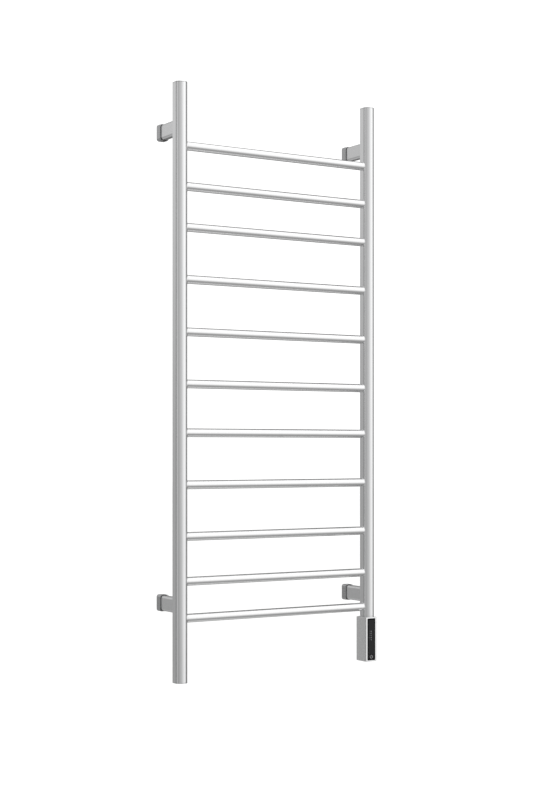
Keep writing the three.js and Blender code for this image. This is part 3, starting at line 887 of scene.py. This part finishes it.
def ramp_of(tree, source, low, high, stops):
    """A grey ramp over a value, from (place, grey) stops."""
    share = tree.nodes.new("ShaderNodeMapRange")
    share.inputs["From Min"].default_value = low
    share.inputs["From Max"].default_value = high
    tree.links.new(source, share.inputs["Value"])
    ramp = tree.nodes.new("ShaderNodeValToRGB")
    bands = ramp.color_ramp.elements
    while len(bands) < len(stops):
        bands.new(0.5)
    for band, (place, grey) in zip(bands, stops):
        band.position = (place - low) / (high - low)
        band.color = (grey, grey, grey, 1.0)
    tree.links.new(share.outputs["Result"], ramp.inputs["Fac"])
    return ramp.outputs["Color"]


def maths(tree, operation, first, second=None):
    """One step of arithmetic."""
    step = tree.nodes.new("ShaderNodeMath")
    step.operation = operation
    for socket, value in zip(step.inputs, (first, second)):
        if value is None:
            continue
        if isinstance(value, (int, float)):
            socket.default_value = value
        else:
            tree.links.new(value, socket)
    return step.outputs[0]


def between(tree, first, second, share):
    """Goes from the first value to the second as the share goes from 0 to 1."""
    step = maths(tree, "MULTIPLY", maths(tree, "SUBTRACT", second, first), share)
    return maths(tree, "ADD", first, step)


# Brightness of the studio by heading: 0 in front of the rack, 90 to its right, 180 behind it.
HEADING_LIGHT = [
    (-180, 0.30), (-160, 0.33), (-148, 0.35), (-138, 0.29), (-130, 0.25), (-126, 0.06), (-100, 0.06),
    (-94, 0.44), (-88, 0.66), (-80, 0.50), (-70, 0.36), (-50, 0.39), (-30, 0.47), (-10, 0.53), (8, 0.68),
    (26, 0.84), (48, 0.93), (66, 0.84), (78, 0.46), (88, 0.20), (116, 0.22), (150, 0.28), (180, 0.30),
]
# The same by elevation: in front, behind, and behind to the left, where it is brighter.
FRONT_HEIGHT = [
    (-90, 0.28), (-41, 0.28), (-28, 0.40), (-20, 0.52),
    (-8, 0.80), (0, 0.90), (12, 1.0), (90, 1.0),
]
BACK_HEIGHT = [
    (-90, 0.20), (-30, 0.20), (-12, 0.24), (-8.5, 0.84),
    (0, 0.94), (14, 1.0), (20, 0.40), (90, 0.40),
]
LEFT_HEIGHT = [
    (-90, 1.1), (-30, 1.1), (-12, 0.90), (-8.5, 0.84),
    (0, 0.96), (12, 1.5), (28, 1.3), (90, 1.3),
]
BACK_SHARE = [(-180, 1.0), (-125, 1.0), (-105, 0.0), (96, 0.0), (112, 1.0), (180, 1.0)]
LEFT_SHARE = [(-180, 1.0), (-138, 1.0), (-128, 0.0), (150, 0.0), (180, 1.0)]
# What the sky and the ground fade to, and where they take over.
POLE_LIGHT = [(-90, 0.44), (-36, 0.44), (30, 0.98), (90, 0.98)]
FRONT_POLES = [(-90, 1.0), (-60, 1.0), (-51, 0.0), (34, 0.0), (50, 1.0), (90, 1.0)]
BACK_POLES = [(-90, 1.0), (-43, 1.0), (-34, 0.0), (50, 0.0), (60, 1.0), (90, 1.0)]
STUDIO_GAIN = 1.36
FILL_LIGHT = 1.18


def studio_surround():
    """Pale studio: white to look at and as fill, banded soft boxes for the metal to mirror."""
    world = bpy.data.worlds.new("studio_surround")
    world.use_nodes = True
    world.cycles.sampling_method = "NONE"
    bpy.context.scene.world = world
    tree = world.node_tree
    tree.nodes.clear()
    direction = tree.nodes.new("ShaderNodeTexCoord")
    split = tree.nodes.new("ShaderNodeSeparateXYZ")
    tree.links.new(direction.outputs["Generated"], split.inputs[0])
    ahead = maths(tree, "MULTIPLY", split.outputs["Y"], -1.0)
    heading = maths(tree, "DEGREES", maths(tree, "ARCTAN2", split.outputs["X"], ahead))
    height = maths(tree, "DEGREES", maths(tree, "ARCSINE", split.outputs["Z"]))
    front, back, left, front_poles, back_poles = (
        ramp_of(tree, height, -90, 90, stops)
        for stops in (FRONT_HEIGHT, BACK_HEIGHT, LEFT_HEIGHT, FRONT_POLES, BACK_POLES))
    behind = ramp_of(tree, heading, -180, 180, BACK_SHARE)
    rising = between(tree, between(tree, front, back, behind), left,
                     ramp_of(tree, heading, -180, 180, LEFT_SHARE))
    banded = maths(tree, "MULTIPLY", ramp_of(tree, heading, -180, 180, HEADING_LIGHT), rising)
    share = between(tree, front_poles, back_poles, behind)
    poles = maths(tree, "MULTIPLY", ramp_of(tree, height, -90, 90, POLE_LIGHT), share)
    rest = maths(tree, "MULTIPLY", banded, maths(tree, "SUBTRACT", 1.0, share))
    grey = maths(tree, "MULTIPLY", maths(tree, "ADD", poles, rest), STUDIO_GAIN)
    boxes = tree.nodes.new("ShaderNodeBackground")
    tree.links.new(grey, boxes.inputs["Color"])
    fill = tree.nodes.new("ShaderNodeBackground")
    fill.inputs["Color"].default_value = (1.0, 1.0, 1.0, 1.0)
    fill.inputs["Strength"].default_value = FILL_LIGHT
    path = tree.nodes.new("ShaderNodeLightPath")
    mix = tree.nodes.new("ShaderNodeMixShader")
    out = tree.nodes.new("ShaderNodeOutputWorld")
    tree.links.new(path.outputs["Is Glossy Ray"], mix.inputs["Fac"])
    tree.links.new(fill.outputs["Background"], mix.inputs[1])
    tree.links.new(boxes.outputs["Background"], mix.inputs[2])
    tree.links.new(mix.outputs["Shader"], out.inputs["Surface"])


def soft_box():
    """One large soft light, high in front and to the right."""
    lamp = bpy.data.lights.new("soft_box", "AREA")
    lamp.shape = "RECTANGLE"
    lamp.size = SOFT_BOX_WIDTH
    lamp.size_y = SOFT_BOX_HEIGHT
    lamp.energy = SOFT_BOX_POWER
    holder = bpy.data.objects.new("soft_box", lamp)
    place = Vector(SOFT_BOX_PLACE)
    aim = Vector(SOFT_BOX_AIM)
    holder.location = place
    holder.rotation_euler = (aim - place).to_track_quat("-Z", "Y").to_euler()
    holder.visible_glossy = False
    bpy.context.scene.collection.objects.link(holder)


def pale_floor():
    """Plain pale floor, well below the rack."""
    bm = bmesh.new()
    level = Matrix.Translation((0.0, 0.0, cad_low.z - FLOOR_DROP))
    bmesh.ops.create_grid(bm, x_segments=8, y_segments=8, size=FLOOR_SIZE, matrix=level)
    mesh = bpy.data.meshes.new("pale_floor")
    bm.to_mesh(mesh)
    bm.free()
    finish, tree, shader = new_finish("pale_floor_finish", (0.93, 0.93, 0.93), 0.0, 0.9)
    grain = object_grain(tree, (3.0, 3.0, 3.0), 2.0)
    vary_colour(tree, shader, grain, (0.92, 0.92, 0.92), (0.94, 0.94, 0.94))
    shader.inputs["Specular IOR Level"].default_value = 0.1
    mesh.materials.append(finish)
    floor = bpy.data.objects.new("pale_floor", mesh)
    floor.visible_glossy = False
    bpy.context.scene.collection.objects.link(floor)


def camera():
    """Level camera, in front and to the left, a little below the middle of the rack."""
    lens = bpy.data.cameras.new("camera")
    lens.lens = LENS_LENGTH
    lens.shift_y = LENS_RISE
    holder = bpy.data.objects.new("camera", lens)
    holder.location = CAMERA_PLACE
    holder.rotation_euler = (math.radians(90.0), 0.0, math.radians(CAMERA_HEADING))
    bpy.context.scene.collection.objects.link(holder)
    bpy.context.scene.camera = holder


# ---- Assembly ----

camera()
studio_surround()
soft_box()
pale_floor()
bpy.context.scene.view_settings.view_transform = "Standard"

upright_tube("left")
upright_tube("right")
caps()
for number in range(1, RAILS + 1):
    rail(number)
for where in BRACKETS:
    bracket_arm(where)
    wall_socket(where)
    lock_screw(where)
head_housing()
glass_panel()
power_key()
indicator_lights()
back_cover()
cover_screws()
cable_grommet()
finish_kept_nodes()
